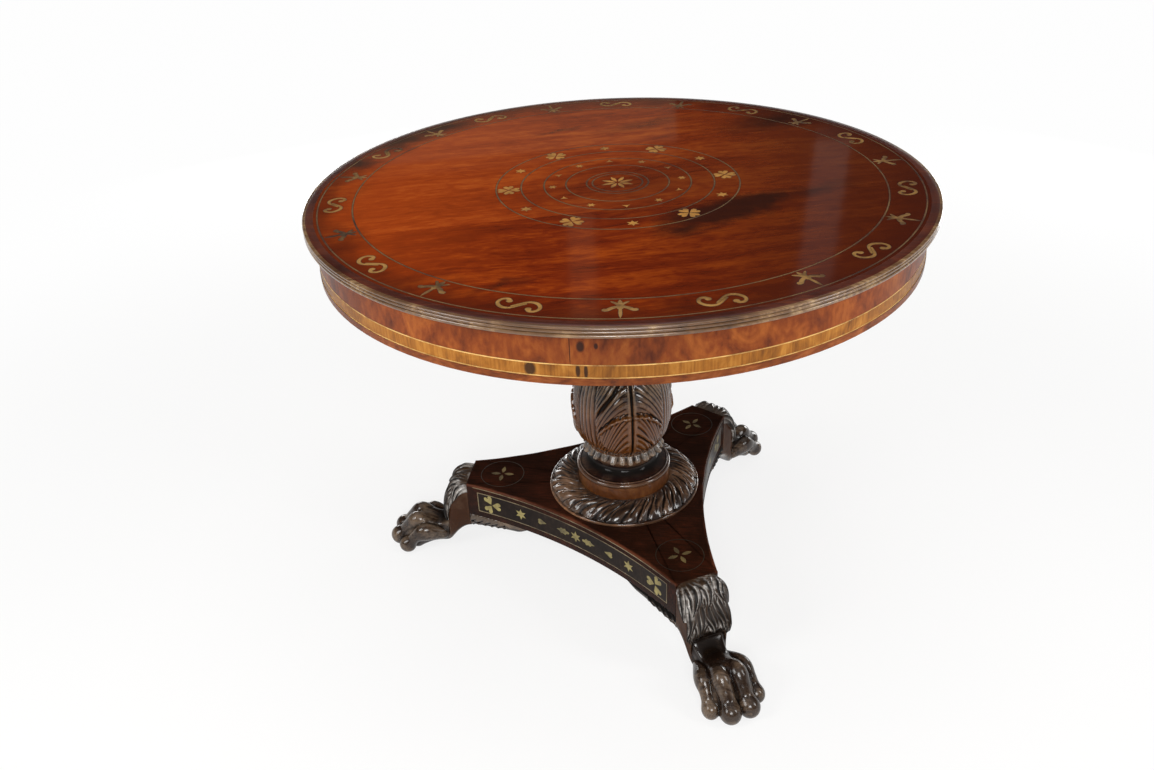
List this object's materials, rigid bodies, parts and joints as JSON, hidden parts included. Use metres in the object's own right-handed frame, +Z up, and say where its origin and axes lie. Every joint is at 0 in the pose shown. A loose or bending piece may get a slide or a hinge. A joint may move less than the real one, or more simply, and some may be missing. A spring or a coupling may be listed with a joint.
{
  "type": "centre table",
  "caption": "Round mahogany centre table with brass inlaid top and frieze, tilting on a carved vase stem and a three-cornered platform with carved paw feet.",
  "frame": {"origin": "on the floor under the axis of the stem and of the round top", "axes": "+Z up; the legs point to 180, 300 and 60 degrees from +X, and the top's pivots lie on the -Y side"},
  "size_m": [0.96, 0.96, 0.74],
  "materials": {
    "top_veneer": "gloss",
    "frieze": "gloss",
    "crossband": "gloss",
    "edge": "gloss",
    "base_wood": "gloss",
    "panel": "gloss",
    "core": "matte",
    "brass": "satin",
    "steel": "satin"
  },
  "bodies": {
    "base": {"tilt_block": "base_wood", "pivot_pins": "steel", "block_wedge": "core", "catch_keeper": "brass", "stem_neck": "base_wood", "vase": "base_wood", "leaf_collar": "base_wood", "stem_foot": "base_wood", "foot_wedge": "core", "drum": "crossband", "gadroon_ring": "base_wood", "platform": "base_wood", "panel_front": "panel", "panel_back": "panel", "panel_right": "panel", "panel_lines": "brass", "panel_inlay": "brass", "corner_rings": "brass", "corner_petals": "brass", "leg_left": "base_wood", "leg_front": "base_wood", "leg_back": "base_wood", "leg_dowels": "core", "leaf_brackets": "base_wood"},
    "top": {"top_board": "core", "veneer_front": "top_veneer", "veneer_back": "top_veneer", "edge_moulding": "edge", "border_lines": "brass", "border_scrolls": "brass", "border_fleurs": "brass", "medallion_lines": "brass", "medallion_rosettes": "brass", "medallion_stars": "brass", "medallion_trefoils": "brass", "centre_flower": "brass", "apron_hoop": "core", "frieze_veneer": "frieze", "frieze_crossband": "crossband", "frieze_low_band": "frieze", "frieze_lines": "brass", "glue_blocks": "core", "bearer_left": "core", "bearer_right": "core", "bearer_screws": "steel", "catch_plate": "brass"},
    "bolt": {"catch_bolt": "brass"}
  },
  "joints": [
    {"name": "top_tilt", "type": "hinge", "parent": "base", "child": "top", "pos_m": [0, -0.14, 0.696], "axis": [1, 0, 0], "range_deg": [0, 88]},
    {"name": "bolt_slide", "type": "slide", "parent": "top", "child": "bolt", "axis": [0, -1, 0], "range_m": [0, 0.014]}
  ]
}
